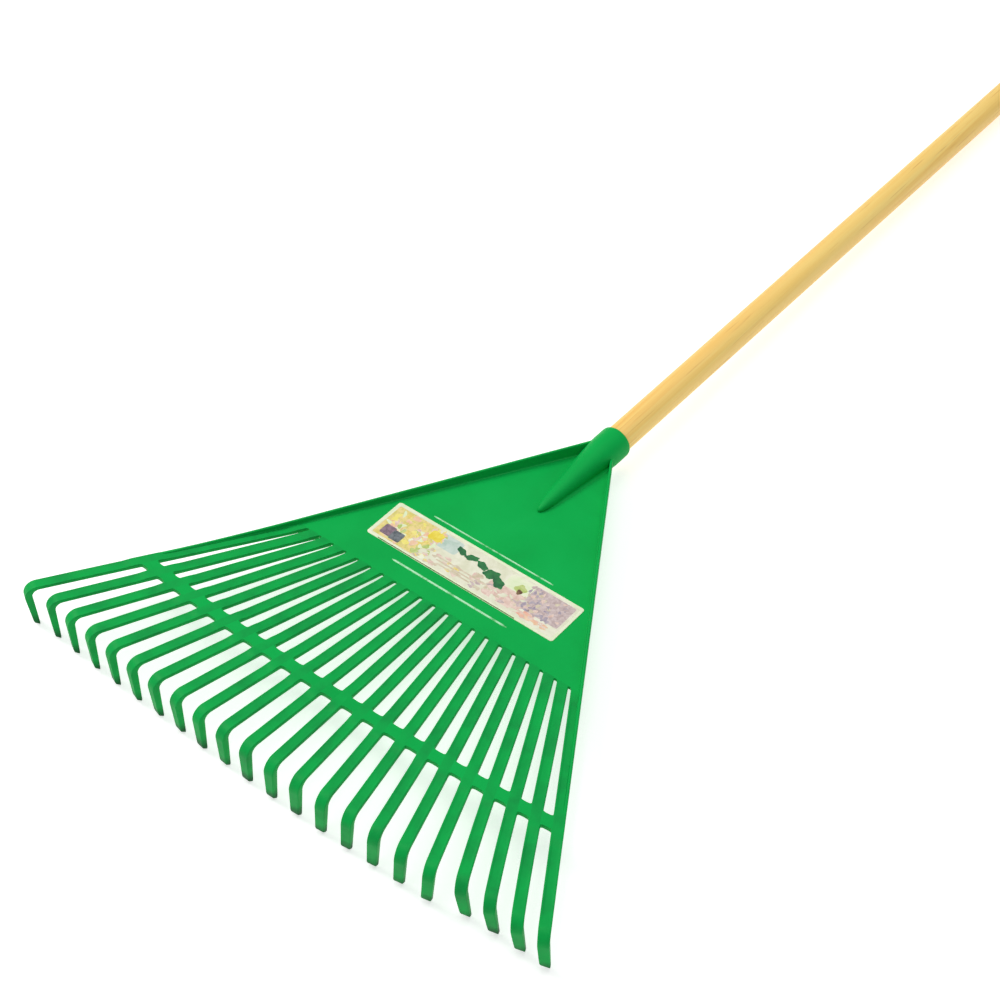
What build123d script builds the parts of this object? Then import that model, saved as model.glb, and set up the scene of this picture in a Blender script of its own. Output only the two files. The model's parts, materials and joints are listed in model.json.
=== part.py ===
"""Leaf rake: one moulded polypropylene fan head with 22 sprung tines on a wooden handle.

Millimetres, +Z up, X across the head, +Y from the tine tips to the free end of the handle.
The rake lies at rest on a floor (Z = 0), on its tine tips and the free end of the handle.
The origin is on the floor, under the middle of the rake.
"""
import os
from math import acos, atan, cos, degrees, radians, sin, tan

from build123d import *

# ---------------------------------------------------------------- driving dimensions (mm, degrees)
N_TINES = 22
FAN_HALF_ANGLE = 31.55        # half of the fan's opening angle, at the outermost tines
ROOT_DIST = 230.0             # from the fan's virtual apex to the straight line the slots start on
BAR_DIST = 350.5              # ... to the middle of the crossbar, on the centre line
BAR_ARCH = 9.0                # the crossbar's ends sit this much nearer to the socket
BAR_DEPTH = 11.0              # crossbar, along the rake
BAR_TOP = 2.3                 # its top above the tines' mid plane
KNEE_DIST = 430.0             # ... to the hooks, on the centre line
KNEE_ARCH = 10.0              # the outermost hooks sit this much nearer to the socket
STUB_LENGTH = 14.0            # rigid length of a tine past the crossbar, up to where it flexes

TINE_W = 9.2
TINE_T = 3.4
HOOK_RADIUS = 9.0             # bend radius of a tine's mid line
HOOK_LEAN = 4.0               # hooks lean back under the head by this angle
HOOK_BEVEL = 2.6              # the outer side of a tip is cut this much shorter
LEG_T, TIP_T = 5.6, 4.0       # a hook's leg is thickened on its inner side, more at the bend
HOOK_INNER_R = 6.5
HINGE_GAP = 0.3

PLATE_T = 3.2
PLATE_TOP = 2.3               # top of the plate at the slot line, above the tines' mid plane
PLATE_SLOPE = 2.87            # the plate rises to the socket, parallel to the handle
RIM_T = 2.4
RIM_TOP_SOCKET = 25.0         # height of the edge rims at the socket end
RIM_TOP_ROOT = 7.5            # ... at the slot line
RIM_TOP_END = 2.1             # ... where they run out on the outermost tines
RIM_END = 334.0

AXIS_HEIGHT = 15.3            # handle axis above the tines' mid plane, at the virtual apex
HANDLE_D = 25.0
HANDLE_LENGTH = 1220.0        # 48 in
HANDLE_END_R = 7.0            # rounding of its free end
HANDLE_SEAT_D = 24.0          # turned down where it sits in the socket
HANDLE_SEAT_TO = 11.5
HANDLE_TAPER_FROM = -12.0     # stations along the handle axis, from the virtual apex
HANDLE_TIP = -85.0
HANDLE_TIP_D = 8.0
SOCKET_OD = 30.0
SOCKET_MOUTH = 10.0
SOCKET_TIP = -98.0
SOCKET_TIP_D = 8.0
SOCKET_FIT = 0.15             # radial clearance of the handle in the socket

SCREW_STATION = 0.5
SCREW_D = 4.0
SCREW_LENGTH = 14.0
SCREW_HEAD_D = 8.0
SCREW_HEAD_H = 2.6

LABEL_W, LABEL_H, LABEL_T = 192.0, 43.0, 0.8
LABEL_DIST = 181.5            # middle of the label from the virtual apex
RIB_L, RIB_W, RIB_H = 118.0, 1.8, 0.6
RIB_DISTS = (154.5, 213.2)    # low ribs above and below the label

REST_TILT = 3.67              # the head dips by this angle towards the handle when at rest
APEX_Y, APEX_Z = -352.2, 13.0  # the virtual apex, on the tines' mid plane

# ---------------------------------------------------------------- frames
HEAD = Plane(
    origin=(0, APEX_Y, APEX_Z), x_dir=(1, 0, 0),
    z_dir=(0, sin(radians(REST_TILT)), cos(radians(REST_TILT))),
)
PLATE = Plane(HEAD.location * Pos(0, -ROOT_DIST, PLATE_TOP) * Rot(X=PLATE_SLOPE))
TUBE = Plane(HEAD.location * Pos(0, 0, AXIS_HEIGHT) * Rot(X=PLATE_SLOPE - 90))
SPREAD = tan(radians(FAN_HALF_ANGLE))
HALF_W = TINE_W / 2


def tine_angle(k):
    """Angle of a tine from the centre line; k runs from -1 to 1 across the fan."""
    return atan(SPREAD * k)


def side_plane(angle):
    """Upright plane along a tine: local x runs out from the apex, local y is up."""
    return Plane(HEAD.location * Rot(Z=degrees(angle) - 90) * Rot(X=90))


def spread_of(index):
    """Position of tine 0 ... 21 across the fan, from -1 to 1; halves lie between tines."""
    return (2 * index - (N_TINES - 1)) / (N_TINES - 1)


def bar_point(k, offset):
    """Plan point on the crossbar where spread k crosses it; offset is towards the tips."""
    dist = BAR_DIST - BAR_ARCH * k * k + offset
    return (dist * SPREAD * k, -dist)


def bar_edge(index, offset):
    """The two ends of one crossbar segment's inner or outer edge."""
    outer = HALF_W / cos(radians(FAN_HALF_ANGLE)) / (BAR_DIST * SPREAD)
    low, high = spread_of(index - 0.5), spread_of(index + 0.5)
    if index == 0:
        low = -1 - outer
    if index == N_TINES - 1:
        high = 1 + outer
    return bar_point(low, offset), bar_point(high, offset)


def along(angle, dist, side):
    """Plan point at a distance along a tine and to one side of its middle."""
    return (dist * sin(angle) + side * cos(angle), -dist * cos(angle) + side * sin(angle))


def meet(angle, side, a, b):
    """Plan point where one side of a tine crosses the line from a to b."""
    px, py = along(angle, 0, side)
    dx, dy = sin(angle), -cos(angle)
    ex, ey = b[0] - a[0], b[1] - a[1]
    t = ((a[0] - px) * ey - (a[1] - py) * ex) / (dx * ey - dy * ex)
    return (px + t * dx, py + t * dy)


def flex_station(index):
    """Distance from the apex to the line a tine flexes about."""
    k = spread_of(index)
    x, y = bar_point(k, BAR_DEPTH / 2)
    return (x * x + y * y) ** 0.5 + STUB_LENGTH


def floor_height(y_head):
    """Height of the floor above the tines' mid plane, at a station along the head."""
    tilt = radians(REST_TILT)
    return (-APEX_Z + y_head * sin(tilt)) / cos(tilt)


def outline_at(points, height):
    """Plan outline at a height above the tines' mid plane."""
    with BuildSketch(HEAD.offset(height)) as outline:
        Polygon(*points, align=None)
    return outline.sketch


def socket_envelope(grow=0.0, mode=Mode.ADD):
    """Outer shape of the socket: a short collar and a long cone."""
    with Locations(TUBE.offset(HANDLE_TAPER_FROM).location):
        Cylinder(SOCKET_OD / 2 + grow, SOCKET_MOUTH - HANDLE_TAPER_FROM,
                 align=(Align.CENTER, Align.CENTER, Align.MIN), mode=mode)
    with Locations(TUBE.offset(SOCKET_TIP).location):
        Cone(SOCKET_TIP_D / 2 + grow, SOCKET_OD / 2 + grow, HANDLE_TAPER_FROM - SOCKET_TIP,
             align=(Align.CENTER, Align.CENTER, Align.MIN), mode=mode)


def handle_end(grow, tip, end, mode=Mode.ADD):
    """The handle's inner end: a round seat, then a taper; grow is the clearance around it."""
    with Locations(TUBE.offset(HANDLE_TAPER_FROM).location):
        Cylinder(HANDLE_SEAT_D / 2 + grow, end - HANDLE_TAPER_FROM,
                 align=(Align.CENTER, Align.CENTER, Align.MIN), mode=mode)
    with Locations(TUBE.offset(tip).location):
        Cone(HANDLE_TIP_D / 2 + grow, HANDLE_SEAT_D / 2 + grow, HANDLE_TAPER_FROM - tip,
             align=(Align.CENTER, Align.CENTER, Align.MIN), mode=mode)


def screw_place(station):
    """Frame at the screw, pointing up from below the socket to the handle's axis."""
    return TUBE.offset(station).location * Rot(X=-90)


def save(part, label):
    part.label = label
    export_step(part, f"parts/{label}.step")


os.makedirs("parts", exist_ok=True)

# ---------------------------------------------------------------- socket: collar and closed cone
with BuildPart() as socket:
    socket_envelope()
    handle_end(SOCKET_FIT, HANDLE_TIP - 1, SOCKET_MOUTH + 1, mode=Mode.SUBTRACT)
    with Locations(screw_place(SCREW_STATION)):
        Cylinder(SCREW_D / 2 + 0.15, SOCKET_OD, align=(Align.CENTER, Align.CENTER, Align.MIN),
                 mode=Mode.SUBTRACT)
save(socket.part, "socket")

# ---------------------------------------------------------------- fan plate, parallel to the handle
plate_side = HALF_W - RIM_T           # the rims stand on the plate's two sloping edges
edge = radians(FAN_HALF_ANGLE)
root_line = ((-1, -ROOT_DIST), (1, -ROOT_DIST))
top_line = ((-1, 0.0), (1, 0.0))
plate_plan = [
    meet(-edge, -plate_side, *root_line), meet(edge, plate_side, *root_line),
    meet(edge, plate_side, *top_line), meet(-edge, -plate_side, *top_line),
]
slope = radians(PLATE_SLOPE)
rise = (ROOT_DIST + 10) * tan(slope)
side_yz = [
    (-ROOT_DIST, PLATE_TOP), (10, PLATE_TOP + rise),
    (10, PLATE_TOP + rise - PLATE_T), (-ROOT_DIST, PLATE_TOP - PLATE_T),
]
with BuildPart() as fan_plate:
    with BuildSketch(Plane(HEAD.location * Rot(Z=90) * Rot(X=90))):
        Polygon(*side_yz, align=None)
    extrude(amount=200, both=True)
    extrude(outline_at(plate_plan, -30), amount=80, mode=Mode.INTERSECT)
    socket_envelope(mode=Mode.SUBTRACT)
save(fan_plate.part, "fan_plate")

# ---------------------------------------------------------------- low ribs beside the label
with BuildPart() as plate_ribs:
    for dist in RIB_DISTS:
        with Locations(PLATE.location * Pos(0, (ROOT_DIST - dist) / cos(slope), 0)):
            Box(RIB_L, RIB_W, RIB_H, align=(Align.CENTER, Align.CENTER, Align.MIN))
save(plate_ribs.part, "plate_ribs")

# ---------------------------------------------------------------- edge rims
for name, sign in (("rim_left", -1), ("rim_right", 1)):
    outline = [
        (4.0, RIM_TOP_SOCKET),
        (ROOT_DIST / cos(edge), RIM_TOP_ROOT),
        (RIM_END / cos(edge), RIM_TOP_END),
        (RIM_END / cos(edge), -PLATE_T - 1),
        (4.0, -PLATE_T - 1),
    ]
    with BuildPart() as rim:
        with BuildSketch(side_plane(sign * edge).offset(-sign * (HALF_W - RIM_T / 2))):
            Polygon(*outline, align=None)
        extrude(amount=RIM_T / 2, both=True)
        # clear of the outermost tine, which it stands on past the slot line
        with Locations(HEAD.location * Pos(0, -ROOT_DIST, TINE_T / 2)):
            Box(700, 400, 60, align=(Align.CENTER, Align.MAX, Align.MAX), mode=Mode.SUBTRACT)
        # underside level with the plate's
        with Locations(PLATE.location * Pos(0, 0, -PLATE_T)):
            Box(700, 700, 60, align=(Align.CENTER, Align.CENTER, Align.MAX), mode=Mode.SUBTRACT)
        socket_envelope(mode=Mode.SUBTRACT)
    save(rim.part, name)

# ---------------------------------------------------------------- tines between plate and crossbar
with BuildPart() as inner_tines:
    for i in range(N_TINES):
        a = tine_angle(spread_of(i))
        inner = bar_edge(i, -BAR_DEPTH / 2)
        plan = [meet(a, -HALF_W, *root_line), meet(a, HALF_W, *root_line),
                meet(a, HALF_W, *inner), meet(a, -HALF_W, *inner)]
        extrude(outline_at(plan, -TINE_T / 2), amount=TINE_T)
save(inner_tines.part, "inner_tines")

# ---------------------------------------------------------------- crossbar, one segment per tine
with BuildPart() as crossbar:
    for i in range(N_TINES):
        (a, b), (d, c) = bar_edge(i, -BAR_DEPTH / 2), bar_edge(i, BAR_DEPTH / 2)
        extrude(outline_at([a, b, c, d], -TINE_T / 2), amount=BAR_TOP + TINE_T / 2)
save(crossbar.part, "crossbar")

# ---------------------------------------------------------------- fixed roots of the sprung tines
with BuildPart() as tine_roots:
    for i in range(N_TINES):
        a = tine_angle(spread_of(i))
        outer = bar_edge(i, BAR_DEPTH / 2)
        end = flex_station(i) - TINE_T / 2 - HINGE_GAP
        plan = [meet(a, -HALF_W, *outer), meet(a, HALF_W, *outer),
                along(a, end, HALF_W), along(a, end, -HALF_W)]
        extrude(outline_at(plan, -TINE_T / 2), amount=TINE_T)
save(tine_roots.part, "tine_roots")

# ---------------------------------------------------------------- sprung tines with their hooks
lean = radians(HOOK_LEAN)
half_t = TINE_T / 2
for i in range(N_TINES):
    k = spread_of(i)
    angle = tine_angle(k)
    start = flex_station(i)
    knee = (KNEE_DIST - KNEE_ARCH * k * k) / cos(angle)
    bend = (knee - HOOK_RADIUS, -HOOK_RADIUS)
    out_r = HOOK_RADIUS + half_t
    outer_a = Vector(bend[0] + out_r * cos(lean), bend[1] - out_r * sin(lean))
    leg, inward = Vector(-sin(lean), -cos(lean)), Vector(-cos(lean), sin(lean))
    # the lower corner of the tip meets the floor
    tip_x = outer_a.X - 2.1 - TIP_T
    tip_z = floor_height(-tip_x * cos(angle) + HALF_W * abs(sin(angle)))
    drop = (outer_a.Y + TIP_T * sin(lean) - tip_z) / cos(lean)
    tip_in = outer_a + leg * drop + inward * TIP_T
    tip_out = outer_a + leg * (drop - HOOK_BEVEL)
    # inner side: a round corner between the tine's underside and the thicker leg
    leg_in = outer_a + inward * LEG_T
    inner_dir = (tip_in - leg_in).normalized()
    corner = leg_in + inner_dir * ((-half_t - leg_in.Y) / inner_dir.Y)
    turn = acos(inner_dir.X)
    run = HOOK_INNER_R * tan(turn / 2)
    arc_from = corner - Vector(run, 0)
    arc_to = corner + inner_dir * run
    centre = arc_from - Vector(0, HOOK_INNER_R)
    arc_mid = centre + (corner - centre).normalized() * HOOK_INNER_R
    mid = radians(45 - HOOK_LEAN / 2)
    with BuildPart() as tine:
        with BuildSketch(side_plane(angle)):
            with BuildLine():
                Line((start, half_t), (bend[0], half_t))
                ThreePointArc((bend[0], half_t),
                              (bend[0] + out_r * cos(mid), bend[1] + out_r * sin(mid)), outer_a)
                Polyline(outer_a, tip_out, tip_in, arc_to)
                ThreePointArc(arc_to, arc_mid, arc_from)
                Line(arc_from, (start, -half_t))
                ThreePointArc((start, -half_t), (start - half_t, 0), (start, half_t))
            make_face()
        extrude(amount=HALF_W, both=True)
    save(tine.part, f"tine_{i + 1:02d}")

# ---------------------------------------------------------------- sticker on the plate
with BuildPart() as label:
    with Locations(PLATE.location * Pos(0, (ROOT_DIST - LABEL_DIST) / cos(slope), 0)):
        Box(LABEL_W, LABEL_H, LABEL_T, align=(Align.CENTER, Align.CENTER, Align.MIN))
save(label.part, "label")

# ---------------------------------------------------------------- wooden handle
with BuildPart() as handle:
    with Locations(TUBE.offset(HANDLE_SEAT_TO).location):
        Cylinder(HANDLE_D / 2, HANDLE_LENGTH + HANDLE_TIP - HANDLE_SEAT_TO,
                 align=(Align.CENTER, Align.CENTER, Align.MIN))
    fillet(handle.edges().filter_by(GeomType.CIRCLE).sort_by(Axis.Y)[-1], radius=HANDLE_END_R)
    handle_end(0, HANDLE_TIP, HANDLE_SEAT_TO)
    with Locations(screw_place(SCREW_STATION)):
        Cylinder(SCREW_D / 2 + 0.05, SOCKET_OD / 2 + 1, align=(Align.CENTER, Align.CENTER, Align.MIN),
                 mode=Mode.SUBTRACT)
save(handle.part, "handle")

# ---------------------------------------------------------------- screw under the socket
with BuildPart() as screw:
    with Locations(screw_place(SCREW_STATION) * Pos(0, 0, SOCKET_OD / 2 + 0.2)):
        Cylinder(SCREW_HEAD_D / 2, SCREW_HEAD_H, align=(Align.CENTER, Align.CENTER, Align.MIN))
        Cylinder(SCREW_D / 2, SCREW_LENGTH, align=(Align.CENTER, Align.CENTER, Align.MAX))
save(screw.part, "screw")
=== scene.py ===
import json
import random
from math import atan, atan2, cos, pi, radians, sin, sqrt, tan

import bmesh
import bpy
from mathutils import Matrix, Vector


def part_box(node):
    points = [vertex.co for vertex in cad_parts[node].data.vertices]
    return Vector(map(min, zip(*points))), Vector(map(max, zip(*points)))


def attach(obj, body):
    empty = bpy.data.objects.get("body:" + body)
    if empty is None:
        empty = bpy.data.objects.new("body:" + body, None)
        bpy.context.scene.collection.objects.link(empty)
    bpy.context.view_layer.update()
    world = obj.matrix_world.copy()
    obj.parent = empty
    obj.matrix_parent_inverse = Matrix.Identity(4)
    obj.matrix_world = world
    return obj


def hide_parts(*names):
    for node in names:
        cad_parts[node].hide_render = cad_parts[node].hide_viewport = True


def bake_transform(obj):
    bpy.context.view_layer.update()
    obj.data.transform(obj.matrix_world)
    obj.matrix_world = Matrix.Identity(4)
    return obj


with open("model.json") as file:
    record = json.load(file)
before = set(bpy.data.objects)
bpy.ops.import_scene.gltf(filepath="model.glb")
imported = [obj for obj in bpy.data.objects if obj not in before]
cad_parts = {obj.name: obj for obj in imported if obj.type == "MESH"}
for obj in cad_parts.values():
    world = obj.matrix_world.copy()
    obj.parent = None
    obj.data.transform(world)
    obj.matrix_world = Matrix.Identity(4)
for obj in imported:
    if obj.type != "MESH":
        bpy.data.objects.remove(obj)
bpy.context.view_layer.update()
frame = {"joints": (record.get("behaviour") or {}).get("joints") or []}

random.seed(22)
joints = {j["child"]: j for j in frame["joints"]}
N = len(joints)

# ------------------------------------------------------------------ dimensions, mm, as in the CAD
ROOT = 230.0  # distances from the point where the tines' lines meet: the line the slots start on
BAR, BAR_ARCH, BAR_DEPTH = 350.5, 9.0, 11.0  # the crossbar, its bow in the middle, its depth
KNEE, KNEE_ARCH = 430.0, 10.0  # the hooks and their bow
STUB = 14.0  # from the crossbar to a tine's hinge
W, T = 9.2, 3.4  # a tine's section
HW, HT = W / 2, T / 2
BEND, INNER_R, LEAN = 9.0, 6.5, radians(4)  # a hook's bend below the tine, its inner radius, its inward lean
LEG_T, TIP_T, BEVEL = 6.1, 4.3, 3.9  # a hook's thickness after the bend and at the tip, the cut of its end
TOP, PLATE_T, SLOPE = 2.3, 3.2, radians(2.87)  # top of the crossbar, the plate's thickness and slope
PLATE_NEAR = 8.0  # the plate's short edge under the socket
RIM_T, RIM_TOPS = 2.4, (25.0, 6.8, 2.1)  # a rim's thickness, and its top at the socket, slot line and end
RIM_START, RIM_END = 9.0, 334.0
AXIS_Z, SOCKET_R = 15.3, 15.0  # the handle's axis above the tines' mid plane, the collar's radius
HANDLE_R, SEAT_R, HANDLE_END, END_ROUND = 12.5, 12.0, 1135.0, 7.0
SCREW_STATION = 0.5
SEAM = 0.05  # how far neighbouring skins of one moulding run into each other

# ------------------------------------------------------------------ head frame, from the record's joints
first, last = joints["tine_01"], joints["tine_%02d" % N]
UP = Vector(last["axis"]).cross(Vector(first["axis"])).normalized()
UP = UP if UP.z > 0 else -UP
OUT_1 = UP.cross(Vector(first["axis"])).normalized()
OUT_1 = OUT_1 if OUT_1.y < 0 else -OUT_1
p1 = Vector(first["pos_m"])
APEX = p1 - OUT_1 * (p1.x / OUT_1.x)
SPREAD = abs(OUT_1.x) / Vector((OUT_1.y, OUT_1.z)).length
BACK = UP.cross(Vector((1, 0, 0)))


def head(x, y, z):
    """A point given in mm in the head's frame: x across, y to the handle, z up from the tines' mid plane."""
    return APEX + (Vector((1, 0, 0)) * x + BACK * y + UP * z) / 1000


def plate_z(y):
    """Height of the plate's top."""
    return TOP + (ROOT + y) * tan(SLOPE)


def spread_of(i):
    """A tine's place across the head, from -1 to 1."""
    return (2 * i - (N - 1)) / (N - 1)


def along(angle, dist, side):
    """Plan point at a distance along a tine's line and to one side of it."""
    return (dist * sin(angle) + side * cos(angle), -dist * cos(angle) + side * sin(angle))


def side_at(angle, side, y):
    """x of a line beside a tine where it crosses y."""
    return (-y * sin(angle) + side) / cos(angle)


# ------------------------------------------------------------------ mesh helpers
def new_object(name, bm, smooth=35):
    mesh = bpy.data.meshes.new(name)
    bmesh.ops.recalc_face_normals(bm, faces=bm.faces)
    bm.to_mesh(mesh)
    bm.free()
    mesh.polygons.foreach_set("use_smooth", [True] * len(mesh.polygons))
    mesh.set_sharp_from_angle(angle=radians(smooth))
    ob = bpy.data.objects.new(name, mesh)
    bpy.context.scene.collection.objects.link(ob)
    return ob


def loft(name, rings, smooth=35):
    """A closed, capped tube of quads through rings of points."""
    bm = bmesh.new()
    rows = [[bm.verts.new(p) for p in ring] for ring in rings]
    n = len(rings[0])
    for a, b in zip(rows, rows[1:]):
        for k in range(n):
            bm.faces.new((a[k], a[(k + 1) % n], b[(k + 1) % n], b[k]))
    bm.faces.new(rows[0][::-1])
    bm.faces.new(rows[-1])
    return new_object(name, bm, smooth)


def slab(name, outline, top, bottom, bevel=0.6, segments=3):
    """A plate with a rounded edge; top and bottom give heights at a plan point."""
    bm = bmesh.new()
    up = [bm.verts.new(head(x, y, top(x, y))) for x, y in outline]
    down = [bm.verts.new(head(x, y, bottom(x, y))) for x, y in outline]
    n = len(outline)
    bm.faces.new(up)
    bm.faces.new(down[::-1])
    for k in range(n):
        bm.faces.new((up[k], down[k], down[(k + 1) % n], up[(k + 1) % n]))
    ob = new_object(name, bm, 50)
    mod = ob.modifiers.new("edge", "BEVEL")
    mod.width, mod.segments, mod.limit_method = bevel / 1000, segments, "ANGLE"
    mod.angle_limit = radians(50)
    mod.use_clamp_overlap = False
    ob.modifiers.new("normals", "WEIGHTED_NORMAL").keep_sharp = False
    dg = bpy.context.evaluated_depsgraph_get()
    mesh = bpy.data.meshes.new_from_object(ob.evaluated_get(dg), depsgraph=dg)
    ob.modifiers.clear()
    ob.data = mesh
    mesh.polygons.foreach_set("use_smooth", [True] * len(mesh.polygons))
    return ob


def finish(ob, body, look, slot_name, *nodes):
    """Gives a piece its material, the CAD nodes it stands for and the body it rides on; slot_name is not
    used.
    """
    ob.data.materials.clear()
    ob.data.materials.append(look)
    if nodes:
        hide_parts(*nodes)
    if body:
        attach(ob, body)
    return ob


# ------------------------------------------------------------------ materials
def material(name, color, roughness, **values):
    m = bpy.data.materials.new(name)
    m.use_nodes = True
    b = m.node_tree.nodes["Principled BSDF"]
    b.inputs["Base Color"].default_value = (*color, 1)
    b.inputs["Roughness"].default_value = roughness
    for key, value in values.items():
        b.inputs[key.replace("_", " ")].default_value = value
    return m, m.node_tree.nodes, m.node_tree.links, b


def noise(nodes, links, scale, stretch=(1, 1, 1), detail=3.0, rough=0.5, distortion=0.0):
    """A noise texture in metres, stretched by scale factors per axis."""
    coord = nodes.new("ShaderNodeTexCoord")
    place = nodes.new("ShaderNodeMapping")
    place.inputs["Scale"].default_value = stretch
    tex = nodes.new("ShaderNodeTexNoise")
    tex.inputs["Scale"].default_value = scale
    tex.inputs["Detail"].default_value = detail
    tex.inputs["Roughness"].default_value = rough
    tex.inputs["Distortion"].default_value = distortion
    links.new(coord.outputs["Object"], place.inputs["Vector"])
    links.new(place.outputs["Vector"], tex.inputs["Vector"])
    return tex.outputs["Fac"]


def ramp(nodes, links, fac, *stops):
    r = nodes.new("ShaderNodeValToRGB")
    while len(r.color_ramp.elements) < len(stops):
        r.color_ramp.elements.new(0.5)
    for e, (pos, col) in zip(r.color_ramp.elements, stops):
        e.position = pos
        e.color = (*col, 1) if len(col) == 3 else col
    links.new(fac, r.inputs["Fac"])
    return r.outputs["Color"]


def remap(nodes, links, fac, low, high, src=(0.3, 0.7)):
    r = nodes.new("ShaderNodeMapRange")
    r.inputs["From Min"].default_value, r.inputs["From Max"].default_value = src
    r.inputs["To Min"].default_value, r.inputs["To Max"].default_value = low, high
    links.new(fac, r.inputs["Value"])
    return r.outputs["Result"]


def multiply(nodes, links, color, other, factor):
    """One colour multiplied by another."""
    mix = nodes.new("ShaderNodeMix")
    mix.data_type, mix.blend_type = "RGBA", "MULTIPLY"
    mix.inputs["Factor"].default_value = factor
    links.new(color, mix.inputs["A"])
    links.new(other, mix.inputs["B"])
    return mix.outputs["Result"]


def bump(nodes, links, shader, *layers):
    """Stacks bump layers of (height, strength, distance in metres)."""
    normal = None
    for height, strength, distance in layers:
        b = nodes.new("ShaderNodeBump")
        b.inputs["Strength"].default_value = strength
        b.inputs["Distance"].default_value = distance
        links.new(height, b.inputs["Height"])
        if normal:
            links.new(normal, b.inputs["Normal"])
        normal = b.outputs["Normal"]
    links.new(normal, shader.inputs["Normal"])


def plastic(name, dark, mid, light, rough, scale=14, tips=False):
    """Moulded polypropylene: soft colour clouds, flow streaks and a fine skin texture; if asked, painted
    shade low on the hooks' tips.
    """
    m, nodes, links, b = material(name, mid, 0.45, Specular_IOR_Level=0.10)
    clouds = noise(nodes, links, scale, (1, 1, 1), 4, 0.55, 0.3)
    color = ramp(nodes, links, clouds, (0.28, dark), (0.5, mid), (0.74, light))
    if tips:  # painted shade: the hooks' low ends darkened, standing in for their shaded bevels
        coord = nodes.new("ShaderNodeTexCoord")
        axes = nodes.new("ShaderNodeSeparateXYZ")
        links.new(coord.outputs["Object"], axes.inputs["Vector"])
        edge = nodes.new("ShaderNodeMath")
        edge.operation = "MULTIPLY_ADD"
        links.new(clouds, edge.inputs[0])
        edge.inputs[1].default_value = 0.012
        links.new(axes.outputs["Z"], edge.inputs[2])
        tip_shade = ramp(nodes, links, remap(nodes, links, edge.outputs["Value"], 0, 1, (0.010, 0.020)),
                     (0.0, (0.30, 0.24, 0.30)), (1.0, (1, 1, 1)))
        color = multiply(nodes, links, color, tip_shade, 1.0)
    links.new(color, b.inputs["Base Color"])
    skin = noise(nodes, links, 900, (1, 1, 1), 2)
    flow = noise(nodes, links, 60, (1, 0.25, 1), 4, 0.6)
    links.new(remap(nodes, links, flow, *rough), b.inputs["Roughness"])
    bump(nodes, links, b, (skin, 0.12, 0.0002), (flow, 0.10, 0.0006))
    return m


PLATE_GREEN = plastic("green_polypropylene_plate", (0.001, 0.355, 0.060), (0.001, 0.40, 0.068),
                      (0.002, 0.43, 0.078), (0.40, 0.55))
# the tines' green is the plate's green made darker: painted shade for how the tines are lit; the last
# argument adds painted shade on the hooks' tips
TINE_GREEN_SHADED = plastic("green_polypropylene_tines_shaded", (0.004, 0.29, 0.056), (0.003, 0.36, 0.064),
                     (0.002, 0.41, 0.070), (0.44, 0.60), 46, True)

WOOD, nodes, links, b = material("handle_wood", (0.83, 0.56, 0.27), 0.45, Specular_IOR_Level=0.4)
grain = noise(nodes, links, 90, (1, 0.018, 1), 6, 0.62, 1.2)
broad = noise(nodes, links, 34, (1, 0.03, 1), 2, 0.5, 0.6)
pores = noise(nodes, links, 520, (1, 0.022, 1), 3, 0.5)
wood_color = ramp(nodes, links, grain, (0.28, (0.88, 0.52, 0.13)), (0.44, (0.98, 0.66, 0.18)),
                  (0.62, (1.0, 0.74, 0.24)), (0.8, (0.95, 0.61, 0.15)))
broad_shade = ramp(nodes, links, broad, (0.32, (0.95, 0.80, 0.72)), (0.6, (1, 1, 1)))
pore_shade = ramp(nodes, links, pores, (0.28, (0.72, 0.54, 0.42)), (0.38, (1, 1, 1)))
for shade in (broad_shade, pore_shade):
    wood_color = multiply(nodes, links, wood_color, shade, 0.6)
links.new(wood_color, b.inputs["Base Color"])
links.new(remap(nodes, links, grain, 0.36, 0.56), b.inputs["Roughness"])
bump(nodes, links, b, (pores, 0.25, 0.0004), (grain, 0.2, 0.0005))

# painted highlight: the ribs beside the sticker are the plate's plastic, coloured pale green along their
# crests as their highlight
RIB_HIGHLIGHT, nodes, links, b = material("pale_rib_painted_highlight", (0.36, 0.78, 0.42), 0.38)
highlight_breakup = noise(nodes, links, 160, (1, 0.4, 1), 3, 0.6)
links.new(ramp(nodes, links, highlight_breakup, (0.36, (0.10, 0.52, 0.16)), (0.52, (0.42, 0.82, 0.48))),
          b.inputs["Base Color"])

STEEL, nodes, links, b = material("zinc_steel", (0.62, 0.63, 0.64), 0.32, Metallic=1.0)
links.new(remap(nodes, links, noise(nodes, links, 700), 0.25, 0.42), b.inputs["Roughness"])


def print_ink(name, dark, light, scale):
    """Printed colour under a thin gloss, clouded from dark to light."""
    m, nodes, links, b = material(name, dark, 0.33, Coat_Weight=0.25)
    blot = noise(nodes, links, scale, (1, 1, 1), 3, 0.6, 0.8)
    links.new(ramp(nodes, links, blot, (0.36, dark), (0.62, light)), b.inputs["Base Color"])
    wave = noise(nodes, links, 45, (1, 1, 1), 1)
    bump(nodes, links, b, (wave, 0.25, 0.0006))
    return m


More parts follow.
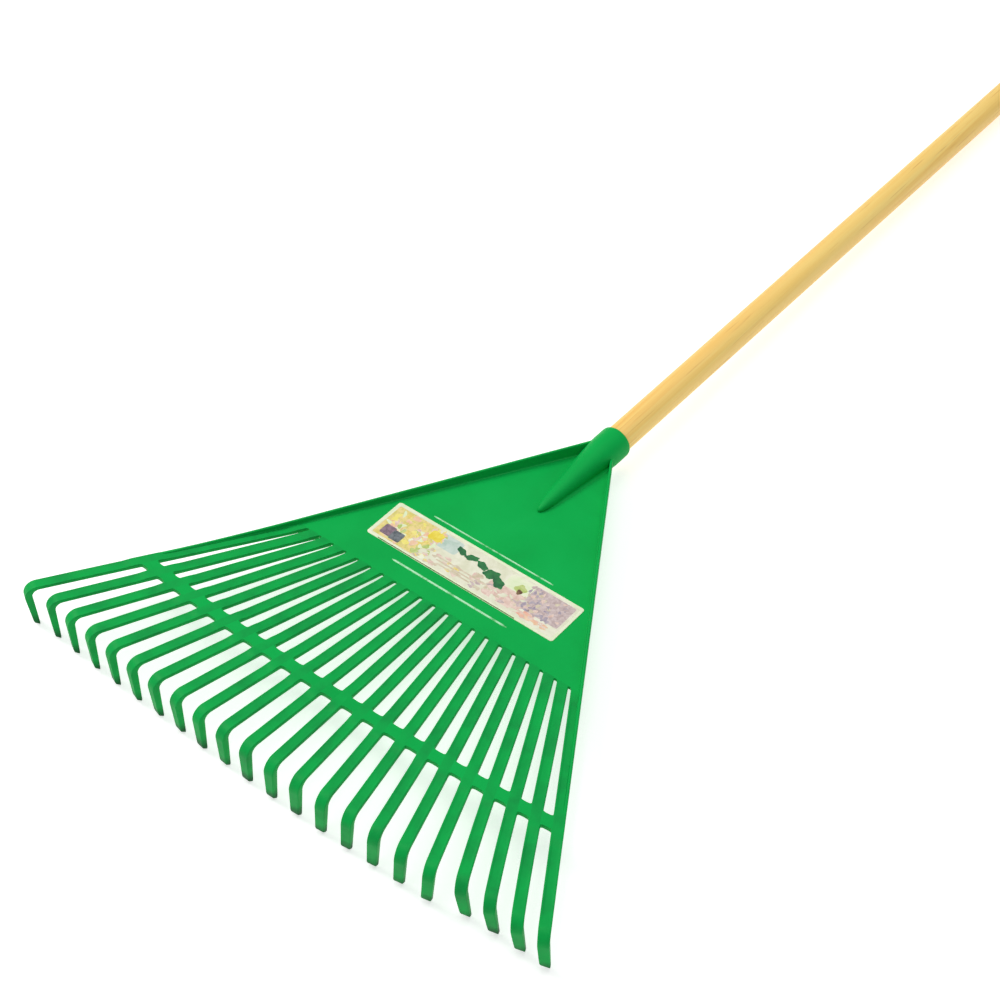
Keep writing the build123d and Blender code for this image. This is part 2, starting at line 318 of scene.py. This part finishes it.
INKS = {
    "border": print_ink("sticker_cream", (0.76, 0.86, 0.56), (0.88, 0.90, 0.68), 60),
    "field": print_ink("sticker_white", (0.74, 0.74, 0.54), (0.86, 0.85, 0.68), 80),
    "meadow": print_ink("sticker_meadow", (0.66, 0.60, 0.16), (0.88, 0.70, 0.30), 190),
    "sun": print_ink("sticker_sun", (0.86, 0.76, 0.14), (0.93, 0.82, 0.30), 120),
    "mist": print_ink("sticker_mist", (0.46, 0.60, 0.50), (0.62, 0.72, 0.64), 120),
    "leaf": print_ink("sticker_leaf", (0.015, 0.13, 0.045), (0.03, 0.22, 0.06), 150),
    "plum": print_ink("sticker_plum", (0.16, 0.11, 0.15), (0.30, 0.20, 0.25), 260),
    "tan": print_ink("sticker_tan", (0.62, 0.52, 0.36), (0.74, 0.66, 0.50), 200),
    "rose": print_ink("sticker_rose", (0.50, 0.38, 0.37), (0.68, 0.56, 0.54), 300),
    "sun_bright": print_ink("sticker_sun_bright", (0.80, 0.62, 0.04), (0.90, 0.76, 0.12), 160),
    "salmon_pale": print_ink("sticker_salmon_pale", (0.84, 0.50, 0.30), (0.90, 0.66, 0.46), 200),
    "mauve": print_ink("sticker_mauve", (0.34, 0.28, 0.36), (0.50, 0.44, 0.48), 220),
    "straw": print_ink("sticker_straw", (0.78, 0.60, 0.14), (0.90, 0.76, 0.30), 260),
    "moss": print_ink("sticker_moss", (0.42, 0.55, 0.12), (0.58, 0.66, 0.26), 240),
    # painted shadow under the sticker's lower edge
    "edge_shadow": print_ink("sticker_painted_edge_shadow", (0.06, 0.12, 0.02), (0.16, 0.24, 0.06), 200),
    "blush": print_ink("sticker_blush", (0.72, 0.50, 0.42), (0.86, 0.68, 0.58), 240),
    "slate": print_ink("sticker_slate", (0.08, 0.10, 0.11), (0.20, 0.22, 0.24), 260),
    "bark": print_ink("sticker_bark", (0.12, 0.06, 0.03), (0.22, 0.14, 0.07), 260),
    "salmon": print_ink("sticker_salmon", (0.84, 0.40, 0.27), (0.88, 0.56, 0.42), 220),
}


# ------------------------------------------------------------------ tines
def smooth(t):
    """Eases from 0 to 1."""
    t = min(1.0, max(0.0, t))
    return t * t * (3 - 2 * t)


def ring_section(top, under, groove, width):
    """One closed section across a tine: (offset to the side, point in the tine's upright plane)."""
    depth = (under - top).length
    w, r, g = HW * width, 0.6, 2.9 * width
    half = [(w - r, depth), (w - 0.18, depth - 0.18), (w, depth - r), (w, r), (w - 0.18, 0.18), (w - r, 0),
            (g + 0.9, 0), (g + 0.3, 0.25 * groove), (g - 0.3, 0.8 * groove), (g - 1.0, groove)]
    out = [(u, top + (under - top) * (v / depth)) for u, v in half]
    return out + [(-u, q) for u, q in out[::-1]]


BENT_FROM = 18  # the four rightmost hooks have been bent inward
BENT = ((2.0, 3.2, 3.6, 2.3), (2.8, 4.8, 3.6, 2.3), (4.8, 5.6, 3.2, 2.3), (3.6, 0.8, 2.4, 0.6))


def worn(i):
    """How use has set a hook: extra reach, extra lean in degrees, swing of its tip, push of the whole end."""
    if i == 0:
        return 4.6, 5.0, 1.2, 0
    if i >= BENT_FROM:
        return BENT[i - BENT_FROM]
    set_in, last = smooth((i - 4) / 10), smooth((i - 14) / 3)
    return 1.0 + 2.6 * set_in + 1.8 * last, 0.8 + 2.8 * last, 1.7 - 4.4 * set_in, 0


def tine(i):
    """One tine from its root to its hook's tip, as a single strip that bends past the crossbar."""
    k = spread_of(i)
    right_side = max(0.0, k)
    angle = atan(SPREAD * k)
    name = "tine_%02d" % (i + 1)
    reach, more, swing, push = worn(i)
    sway = random.uniform(-0.4, 0.4) + push
    lean = LEAN + radians(more + random.uniform(-0.7, 0.7))
    bar = BAR - BAR_ARCH * k * k
    flex = (bar + BAR_DEPTH / 2) / cos(angle) + STUB
    knee = (KNEE - KNEE_ARCH * k * k) / cos(angle) + reach
    turn = knee - BEND

    def surface(s):
        """Height of the top: it runs up into the plate and into the crossbar."""
        y = s * cos(angle)
        near_root = smooth((ROOT + 11 - y) / 8)
        near_bar = smooth((BAR_DEPTH / 2 + 11 - abs(y - bar)) / 8)
        return HT + (TOP + 0.02 - HT) * max(near_root, near_bar)

    def channel(s):
        """Depth of the shallow channel in the top."""
        y = s * cos(angle)
        past_root = smooth((y - ROOT - 6) / 8)
        off_bar = smooth((abs(y - bar) - BAR_DEPTH / 2 - 4) / 7)
        return 0.55 * past_root * off_bar * smooth((turn - s) / 14)

    # outer and inner side of the hook, in the tine's upright plane
    out_r = BEND + HT
    centre = Vector((turn, -BEND))
    outer_a = centre + out_r * Vector((cos(lean), -sin(lean)))
    leg, inward = Vector((-sin(lean), -cos(lean))), Vector((-cos(lean), sin(lean)))
    tip_x = outer_a.x - 32 * sin(lean) - TIP_T
    y_low = -tip_x * cos(angle) + HW * 0.84 * abs(sin(angle))
    tip_z = (-APEX.z * 1000 - y_low * BACK.z) / UP.z + 0.05
    drop = (outer_a.y + TIP_T * sin(lean) - tip_z) / cos(lean)
    tip_in = outer_a + leg * drop + inward * TIP_T
    tip_out = outer_a + leg * (drop - BEVEL)
    leg_in = outer_a + inward * LEG_T
    down = (tip_in - leg_in).normalized()
    corner = leg_in + down * ((-HT - leg_in.y) / down.y)
    full = pi / 2 + atan2(-down.x, -down.y)
    run = INNER_R * tan(full / 2)
    arc_c = corner - Vector((run, INNER_R))
    arc_end = corner + down * run

    rings = []

    def ring(top, under, groove, width, slide=0.0, cut=0.0):
        mid_s = (top.x + under.x) / 2
        t = max(0.0, (mid_s - bar / cos(angle)) / (knee - bar / cos(angle)))
        shift = sway * t * t + slide
        rings.append([head(*along(angle, q.x, u + shift), q.y + cut * (HW - u) / (2 * HW))
                      for u, q in ring_section(top, under, groove, width)])

    start = (ROOT - 1.5) / cos(angle)
    stations = {start, turn - 14, turn - 8, turn - 3}
    for edge in (ROOT, bar):
        stations |= {(edge + d) / cos(angle) for d in (3, 5, 7, 9, 11, 14)}
    stations |= {(bar + d) / cos(angle) for d in (-17, -14.5, -12, -10, -8, 0, 8, 10, 12, 14.5, 17)}
    stations |= {flex + d for d in range(-10, 24, 4)}
    stations |= {start + (bar / cos(angle) - start) * f for f in (0.3, 0.5, 0.7)}
    stations |= {flex + 24 + (turn - 14 - flex - 24) * f for f in (0.33, 0.67)}
    last_s = arc_c.x - 1.5
    for s in sorted(q for q in stations if start <= q < last_s):
        ring(Vector((s, surface(s))), Vector((s, -HT)), channel(s), 1.0)
    steps = 14
    for j in range(steps + 1):
        f = j / steps
        a, c = (pi / 2 + lean) * f, full * f
        top = centre + out_r * Vector((sin(a), cos(a)))
        under = arc_c + INNER_R * Vector((sin(c), cos(c)))
        ring(top, under, 0.0, 1.0 - 0.07 * f, swing * 0.12 * f * f)
    for f in (0.25, 0.5, 0.75, 0.92, 0.975, 1.0):
        top, under = outer_a + (tip_out - outer_a) * f, arc_end + (tip_in - arc_end) * f
        shrink = (f - 0.92) / 0.08 if f > 0.92 else 0.0
        axis = under - top
        top, under = top + axis * 0.10 * shrink ** 2, under - axis * 0.06 * shrink ** 2
        width = 0.93 - (0.12 - 0.05 * right_side) * f - 0.10 * shrink ** 2
        ring(top, under, 0.0, width, swing * (0.12 + 0.88 * f), 3.2 * right_side * f ** 3)
    ob = loft(name + "_strip", rings, 38)
    finish(ob, None, TINE_GREEN_SHADED, "head_plastic", name)
    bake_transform(ob)
    return ob


tines = [tine(i) for i in range(N)]
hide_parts("inner_tines", "tine_roots")

# ------------------------------------------------------------------ plate, with rounded slot ends
EDGE = atan(SPREAD)
GAP_STEPS = 12


def gap_end(i, y_edge, reach, flip, power):
    """Rounded end of the gap after tine i: plan points from left to right."""
    a, c = atan(SPREAD * spread_of(i)), atan(SPREAD * spread_of(i + 1))
    pts = []
    for j in range(GAP_STEPS + 1):
        t = j / GAP_STEPS
        y = y_edge(t) + flip * reach * (1 - (1 - abs(2 * t - 1) ** power) ** (1 / power))
        x0, x1 = side_at(a, HW - SEAM, y), side_at(c, -HW + SEAM, y)
        pts.append((x0 + (x1 - x0) * (0.5 - 0.5 * cos(pi * t)), y))
    return pts


SLOT_ROUND = 2.3
front = []
for i in range(N - 1):
    front += gap_end(i, lambda t: -ROOT, SLOT_ROUND, -1, 2.0)
yl = -ROOT - SLOT_ROUND
mid = HW - RIM_T / 2
outline = [(side_at(-EDGE, -mid, yl), yl)] + front + [(side_at(EDGE, mid, yl), yl)]
outline += [(side_at(EDGE, mid, -PLATE_NEAR), -PLATE_NEAR), (side_at(-EDGE, -mid, -PLATE_NEAR), -PLATE_NEAR)]
plate = slab("plate_skin", outline, lambda x, y: plate_z(y), lambda x, y: plate_z(y) - PLATE_T)
finish(plate, "head", PLATE_GREEN, "head_plastic", "fan_plate")

# ------------------------------------------------------------------ crossbar, filleted into the tines
def bar_y(x_spread, offset):
    """y of a line along the bowed crossbar."""
    return -(BAR - BAR_ARCH * x_spread * x_spread + offset)


inner, outer = [], []
for i in range(N - 1):
    k0, k1 = spread_of(i), spread_of(i + 1)
    for store, off, flip in ((inner, -BAR_DEPTH / 2 + 0.3, 1), (outer, BAR_DEPTH / 2 - 0.3, -1)):
        store.extend(gap_end(i, lambda t: bar_y(k0 + (k1 - k0) * t, off), 2.6, flip, 2.4))
y_in, y_out = bar_y(1, -BAR_DEPTH / 2 - 1.6), bar_y(1, BAR_DEPTH / 2 + 1.6)
side = HW + SEAM
ring_pts = [(side_at(-EDGE, -side, y_in), y_in)] + inner
ring_pts += [(side_at(EDGE, side, y_in), y_in), (side_at(EDGE, side, y_out), y_out)]
ring_pts += outer[::-1] + [(side_at(-EDGE, -side, y_out), y_out)]
bar = slab("crossbar_skin", ring_pts, lambda x, y: TOP, lambda x, y: -HT, 0.55)
finish(bar, "head", PLATE_GREEN, "head_plastic", "crossbar")

# ------------------------------------------------------------------ edge rims
at_socket, at_root, at_end = RIM_TOPS
s_root, s_end = ROOT / cos(EDGE), RIM_END / cos(EDGE)
for name, sign in (("rim_left", -1), ("rim_right", 1)):
    rings = []
    for j in range(33):
        s = RIM_START + (s_end - RIM_START) * j / 32
        y_mid = -s * cos(EDGE)
        if s < s_root:  # beside the plate; the right rim is worn down next to the collar
            top = at_socket + (at_root - at_socket) * (s - 4) / (s_root - 4)
            top -= max(0, sign) * 6 * smooth((36 - s) / 26)
            base, low, flare = plate_z(y_mid), plate_z(y_mid) - PLATE_T, 1.4
        else:  # on the outermost tine
            top = at_end + (at_root - at_end) * ((s_end - s) / (s_end - s_root)) ** 1.7
            base, low, flare = HT, HT - 0.6, 0.5
        o, q, r = HW + 0.02, HW - RIM_T, RIM_T / 2
        h = max(0.3, top - base)
        f, rr = min(flare, h * 0.5), r * min(1.0, h)
        crest = [((o + q) / 2 + r * cos(pi * m / 8), top - rr * (1 - sin(pi * m / 8))) for m in range(9)]
        foot = [(q, base + f), (q - 0.3 * f, base + 0.3 * f), (q - f, base - 0.05), (q - f, low)]
        section = [(o, low)] + crest + foot
        rings.append([head(*along(sign * EDGE, s, sign * u), v) for u, v in section])
    rim = loft(name + "_wall", rings, 40)
    finish(rim, "head", PLATE_GREEN, "head_plastic", name)

# ------------------------------------------------------------------ socket
AX = Vector((0, cos(SLOPE), sin(SLOPE)))


def on_axis(t, r, a):
    """A point at station t along the handle's axis, r from it, at angle a."""
    return head(r * cos(a), AX.y * t - r * sin(a) * AX.z, AXIS_Z + AX.z * t + r * sin(a) * AX.y)


def turned(name, profile, sides=72, smooth=35):
    """A piece turned about the handle's axis from (station, radius) points."""
    rings = [[on_axis(t, r, 2 * pi * k / sides) for k in range(sides)] for t, r in profile]
    return loft(name, rings, smooth)


# the long cone, from its tip to the collar
NOSE = [(-98, 0.3), (-97.6, 1.3), (-96, 2.5), (-93, 3.7), (-88, 5.0), (-82, 6.1), (-75, 7.0), (-66, 8.1),
        (-56, 9.35), (-46, 10.6), (-36, 11.85), (-27, 12.95), (-20, 13.75), (-16, 14.25), (-13, 14.6),
        (-9, 14.9), (-5, SOCKET_R)]


def nose_r(t):
    """Radius of the long cone at a station."""
    for (t0, r0), (t1, r1) in zip(NOSE, NOSE[1:]):
        if t <= t1:
            return r0 + (r1 - r0) * (t - t0) / (t1 - t0)
    return SOCKET_R


profile = NOSE + [(6, SOCKET_R), (8, 14.95), (9.2, 14.7), (9.8, 14.2), (10, 13.6), (9.9, 12.9), (9.5, 12.45),
                  (8.3, 12.2), (2, 12.15)]
socket = turned("socket_moulding", profile)
finish(socket, "head", PLATE_GREEN, "head_plastic", "socket")

# fillets where the cone runs into the plate, above and below
for name, sx, face in (("fillet_a", -1, 1), ("fillet_b", 1, 1), ("fillet_c", -1, -1), ("fillet_d", 1, -1)):
    rings = []
    for j in range(25):
        t = -93 + (93 - 20) * j / 24
        y = AX.y * t
        axis, r = AXIS_Z + AX.z * t, nose_r(t)
        level = plate_z(y) if face > 0 else plate_z(y) - PLATE_T
        R = max(0.12, (2.6 if face > 0 else 1.8) * smooth((t + 94) / 26))
        height = level + face * R
        wall = sqrt(max(0.2, r * r - (height - axis) ** 2)) - 0.12
        quarter = [pi / 2 * m / 6 for m in range(7)]
        pts = [(wall + R * (1 - sin(a)), level + face * (R * (1 - cos(a)) + 0.01)) for a in quarter]
        pts += [(wall - 0.8, height), (wall - 0.8, level - face * 0.25), (wall + R, level - face * 0.25)]
        rings.append([head(sx * x, y, z) for x, z in pts])
    fil = loft("socket_" + name, rings, 60)
    finish(fil, "head", PLATE_GREEN, "head_plastic")

# ------------------------------------------------------------------ pale ribs beside the sticker
for n, (dist, half, x0, x1) in enumerate(((154.8, 0.7, -64, 60), (213.2, 1.0, -59, 59))):
    rings = []
    for j in range(41):
        x = x0 + (x1 - x0) * j / 40
        e = min(1.0, (min(j, 40 - j) + 0.25) / 1.2)
        h = 0.55 * e
        prof = [(-half * e, -0.1), (-half * e * 0.85, h * 0.6), (-half * e * 0.4, h), (half * e * 0.4, h),
                (half * e * 0.85, h * 0.6), (half * e, -0.1)]
        rings.append([head(x, -dist + u, plate_z(-dist + u) + v) for u, v in prof])
    rib = loft("plate_rib_%d" % (n + 1), rings, 50)
    finish(rib, "head", RIB_HIGHLIGHT, "head_plastic", *(["plate_ribs"] if n == 0 else []))

# ------------------------------------------------------------------ sticker
LX, LY, LT = 96.0, 21.5, 0.45  # half its length, half its width, its thickness
LABEL_Y = -181.5


def on_plate(x, v, lift):
    """A point on the sticker: x across, v up the plate from the sticker's middle."""
    y = LABEL_Y + v
    return head(x, y, plate_z(y) + lift)


def rounded(x0, y0, x1, y1, r, n=6):
    """Outline of a rectangle with round corners."""
    corners = ((x1 - r, y1 - r, 0), (x0 + r, y1 - r, pi / 2),
               (x0 + r, y0 + r, pi), (x1 - r, y0 + r, 1.5 * pi))
    pts = []
    for cx, cy, a0 in corners:
        pts += [(cx + r * cos(a0 + pi / 2 * j / n), cy + r * sin(a0 + pi / 2 * j / n)) for j in range(n + 1)]
    return pts


bm = bmesh.new()
base = rounded(-LX, -LY, LX, LY, 2.5)
loops = []
for shrink, lift in ((0, -0.05), (0, LT - 0.12), (0.12, LT)):
    kx, kv = 1 - shrink / LX, 1 - shrink / LY
    loops.append([bm.verts.new(on_plate(x * kx, v * kv, lift)) for x, v in base])
for a, c in zip(loops, loops[1:]):
    for k in range(len(base)):
        bm.faces.new((a[k], a[(k + 1) % len(base)], c[(k + 1) % len(base)], c[k]))
bm.faces.new(loops[-1])
bm.faces.new(loops[0][::-1])
names = ["border"]


def patch(ink, pts, lift):
    """A printed area: a thin closed film on the sticker."""
    if ink not in names:
        names.append(ink)
    up = [bm.verts.new(on_plate(x, v, LT + lift)) for x, v in pts]
    down = [bm.verts.new(on_plate(x, v, LT - 0.1)) for x, v in pts]
    faces = [bm.faces.new(up), bm.faces.new(down[::-1])]
    for k in range(len(pts)):
        faces.append(bm.faces.new((up[k], down[k], down[(k + 1) % len(pts)], up[(k + 1) % len(pts)])))
    for f in faces:
        f.material_index = names.index(ink)


def blob(cx, cv, length, width, turn, lift, ink, dents=3, depth=0.14):
    """A printed blot with a soft, dented outline."""
    pts = []
    for j in range(20):
        a = 2 * pi * j / 20
        swell = 1 - depth + depth * cos(dents * a + cx)
        u, v = length / 2 * cos(a) * swell, width / 2 * sin(a) * swell
        ca, sa = cos(radians(turn)), sin(radians(turn))
        pts.append((cx + u * ca - v * sa, cv + u * sa + v * ca))
    patch(ink, pts, lift)


def scatter(count, xs, vs, lengths, widths, turns, lift, inks):
    """Blots at random places, each a little above the one before."""
    for n in range(count):
        blob(random.uniform(*xs), random.uniform(*vs), random.uniform(*lengths), random.uniform(*widths),
             random.uniform(*turns), lift + 0.0004 * n, random.choice(inks))


patch("field", rounded(-LX + 2.6, -LY + 2.6, LX - 2.6, LY - 2.6, 1.2), 0.02)
patch("meadow", rounded(-LX + 3.6, -LY + 3.4, -50, LY - 3.6, 1.2), 0.03)
patch("mist", rounded(-46, 2, -22, LY - 4.5, 3.0), 0.04)
patch("blush", rounded(18, -15.5, 70, 2.5, 4.0), 0.025)
patch("border", rounded(28, 2, 56, LY - 4.5, 3.0), 0.028)
patch("rose", rounded(52, -9, 91, LY - 4, 1.5), 0.03)
# a meadow of small flowers on the left, fallen leaves on the right: soft blots, no lettering
scatter(130, (-88, -40), (-15.5, 16), (4.0, 11.0), (3.0, 6.5), (0, 180), 0.04,
        ("sun", "straw", "meadow", "moss", "border", "blush", "salmon_pale"))
scatter(46, (-50, -6), (-17, -3), (4.0, 9.0), (2.0, 4.0), (-20, 20), 0.04, ("tan", "straw", "field", "blush"))
scatter(64, (2, 68), (-16, -1), (4.0, 10.0), (2.2, 4.6), (-30, 30), 0.04,
        ("blush", "blush", "tan", "rose", "field"))
scatter(90, (50, 88), (-9, 15.5), (2.4, 6.5), (1.8, 4.2), (0, 180), 0.05,
        ("mauve", "rose", "blush", "tan", "rose", "mauve"))
patch("plum", rounded(-88, -15, -77, -4.0, 1.6), 0.10)
patch("slate", rounded(-78, -16, -67, -5.5, 1.6), 0.105)
blob(-47, 9.5, 16, 13, 0, 0.10, "sun_bright", 4)
# a plain sprig of leaves in the middle
LEAVES = ((-20, 9.8, 13, 6.5, -25), (-9, 9.0, 14, 7, 20), (3, 7.6, 14, 7.5, -20), (15, 4.6, 17, 11, 15),
          (25, 0.6, 14, 10, -35))
for n, leaf in enumerate(LEAVES):
    blob(*leaf, 0.09 + 0.004 * n, "leaf", 5, 0.12)
for row in range(3):
    patch("tan", rounded(-34 + 3 * row, -7.6 - 3.2 * row, 14 - 4 * row, -6.2 - 3.2 * row, 0.6, 3), 0.07)
blob(43, 6.5, 12, 11, 0, 0.07, "moss", 4)
blob(44, 3.5, 5.5, 6.5, 20, 0.09, "bark", 3)
scatter(16, (58, 86), (-16, -10.5), (4, 9), (2.2, 3.6), (-8, 8), 0.09,
        ("salmon", "salmon", "blush", "salmon_pale"))
# painted shadow: a dark line along the lower edge, where the sticker's edge casts shade
patch("edge_shadow", rounded(-LX + 12, -LY + 0.25, 58, -LY + 1.15, 0.3, 3), 0.06)
sticker = new_object("sticker", bm, 30)
inks = [p.material_index for p in sticker.data.polygons]
finish(sticker, "head", INKS["border"], "sticker", "label")
for n in names[1:]:
    sticker.data.materials.append(INKS[n])
sticker.data.polygons.foreach_set("material_index", inks)

# ------------------------------------------------------------------ handle
# a tapered seat inside the socket, the plain pole, and a rounded free end
pole_from, pole_to = 11.8, HANDLE_END - END_ROUND
profile = [(-85, 4.0), (-84, 4.4), (-60, 6.78), (-36, 9.4), (-12, SEAT_R), (9.0, SEAT_R), (11.1, SEAT_R),
           (11.5, 12.4), (pole_from, HANDLE_R)]
profile += [(pole_from + (pole_to - pole_from) * j / 40, HANDLE_R) for j in range(1, 41)]
profile += [(pole_to + END_ROUND * sin(a), HANDLE_R - END_ROUND + END_ROUND * cos(a))
            for a in (pi / 2 * j / 8 for j in range(1, 9))]
handle = turned("handle_pole", profile, 96, 40)
finish(handle, "head", WOOD, "handle_wood", "handle")

# ------------------------------------------------------------------ screw under the socket
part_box("screw")  # stops the script here if the CAD has no screw


def on_screw(r, a, drop):
    """A point of the screw: r off its line, drop below the handle's axis."""
    return on_axis(SCREW_STATION + r * sin(a), drop, -pi / 2) + Vector((r * cos(a) / 1000, 0, 0))


rings = []
for r, drop in ((2.0, 1.4), (2.0, 15.0), (4.0, 15.25), (4.0, 16.3), (3.6, 17.2), (2.7, 17.7), (1.9, 17.8),
                (1.6, 17.1), (0.3, 16.6)):
    in_recess = 16.5 < drop < 17.75 and r < 2.0
    turns = [2 * pi * k / 48 for k in range(48)]
    rings.append([on_screw(r * (0.45 + 0.55 * abs(cos(2 * a)) ** 3) if in_recess else r, a, drop)
                  for a in turns])
screw = loft("screw_pan_head", rings, 35)
finish(screw, "head", STEEL, "screw_steel", "screw")

# ------------------------------------------------------------------ floor, light and camera
floor_mat, nodes, links, b = material("pale_floor", (0.66, 0.66, 0.655), 0.7, Specular_IOR_Level=0.1)
b.inputs["Emission Color"].default_value = (1, 1, 1, 1)
b.inputs["Emission Strength"].default_value = 0.62
links.new(remap(nodes, links, noise(nodes, links, 3), 0.62, 0.78), b.inputs["Roughness"])
bm = bmesh.new()
bmesh.ops.create_grid(bm, x_segments=2, y_segments=2, size=9)
floor = new_object("floor", bm)
floor.location.z = -0.0005  # just under the tips, so that no face lies on another
floor.data.materials.append(floor_mat)


def area(name, place, target, size, power, color=(1, 1, 1)):
    """A round soft light that faces its target."""
    light = bpy.data.lights.new(name, "AREA")
    light.shape, light.size, light.energy, light.color = "DISK", size, power, color
    ob = bpy.data.objects.new(name, light)
    ob.location = place
    ob.rotation_euler = (Vector(target) - Vector(place)).to_track_quat("-Z", "Y").to_euler()
    bpy.context.scene.collection.objects.link(ob)


area("key", (-1.9, -0.9, 2.3), (0, -0.45, 0), 1.3, 44, (1.0, 0.99, 0.97))
area("top", (0.1, -0.2, 3.0), (0, -0.4, 0), 2.6, 32)
world = bpy.data.worlds.new("studio")
world.use_nodes = True
world.node_tree.nodes["Background"].inputs["Color"].default_value = (0.95, 0.97, 1.0, 1)
world.node_tree.nodes["Background"].inputs["Strength"].default_value = 0.36
bpy.context.scene.world = world

cam = bpy.data.cameras.new("camera")
cam.lens, cam.sensor_width, cam.clip_end = 75.4, 36, 50
camera = bpy.data.objects.new("camera", cam)
back = Vector((0.44577, -0.54257, 0.71198))
right = Vector((0.77851, 0.62757, -0.00919))
up = back.cross(right)
turn_matrix = Matrix((right, up, back)).transposed().to_4x4()
camera.matrix_world = Matrix.Translation((0.7407, -1.4001, 1.2649)) @ turn_matrix
bpy.context.scene.collection.objects.link(camera)
bpy.context.scene.camera = camera
bpy.context.scene.view_settings.view_transform = "Standard"
